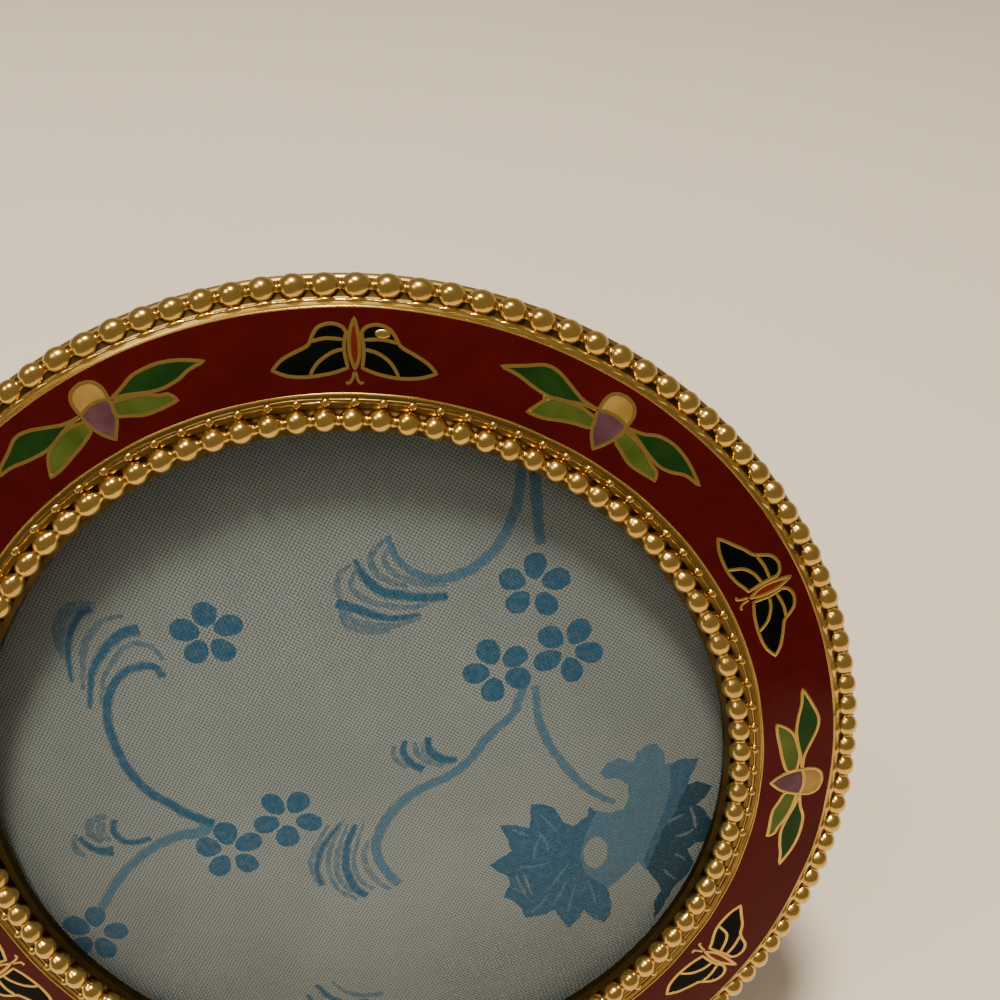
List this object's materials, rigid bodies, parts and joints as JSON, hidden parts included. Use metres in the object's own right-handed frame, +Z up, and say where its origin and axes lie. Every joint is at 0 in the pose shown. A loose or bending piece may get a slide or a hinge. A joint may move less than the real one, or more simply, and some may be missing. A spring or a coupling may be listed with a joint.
{
  "type": "photo frame",
  "caption": "Round enamel photo frame with beaded gilt edges, a pane over a printed cloth, and a hinged easel strut that holds it leaning back.",
  "frame": {"origin": "middle of the flat spot under the rim, on the table", "axes": "+Z up, -Y to the front that shows the picture, +X to the picture's right"},
  "size_m": [0.0956, 0.0411, 0.0914],
  "materials": {
    "gilt_body": "gilt, polished, with a little tarnish",
    "gilt_wire": "gilt, polished, darker between the beads",
    "red_enamel": "fired and polished glossy, dark red with green, lilac, ochre and black cells in thin gold wires",
    "clear_glass": "clear, polished",
    "printed_cotton": "plain weave, pale grey-blue with blue printed flowers",
    "dark_board": "covered with dark short-pile cloth",
    "gilt_hinge": "gilt sheet metal, plain"
  },
  "bodies": {
    "frame": {"frame_body": "gilt_body", "enamel_band": "red_enamel", "inner_beaded_wire": "gilt_wire", "outer_beaded_wire": "gilt_wire", "glass_disc": "clear_glass", "printed_cloth": "printed_cotton", "back_board": "dark_board", "hinge_bracket": "gilt_hinge", "hinge_pin": "gilt_hinge"},
    "strut": {"easel_strut": "gilt_hinge"}
  },
  "joints": [
    {"name": "strut_hinge", "type": "hinge", "parent": "frame", "child": "strut", "pos_m": [0, 0.02087, 0.05712], "axis": [1, 0, 0], "range_deg": [-32, 0]}
  ]
}
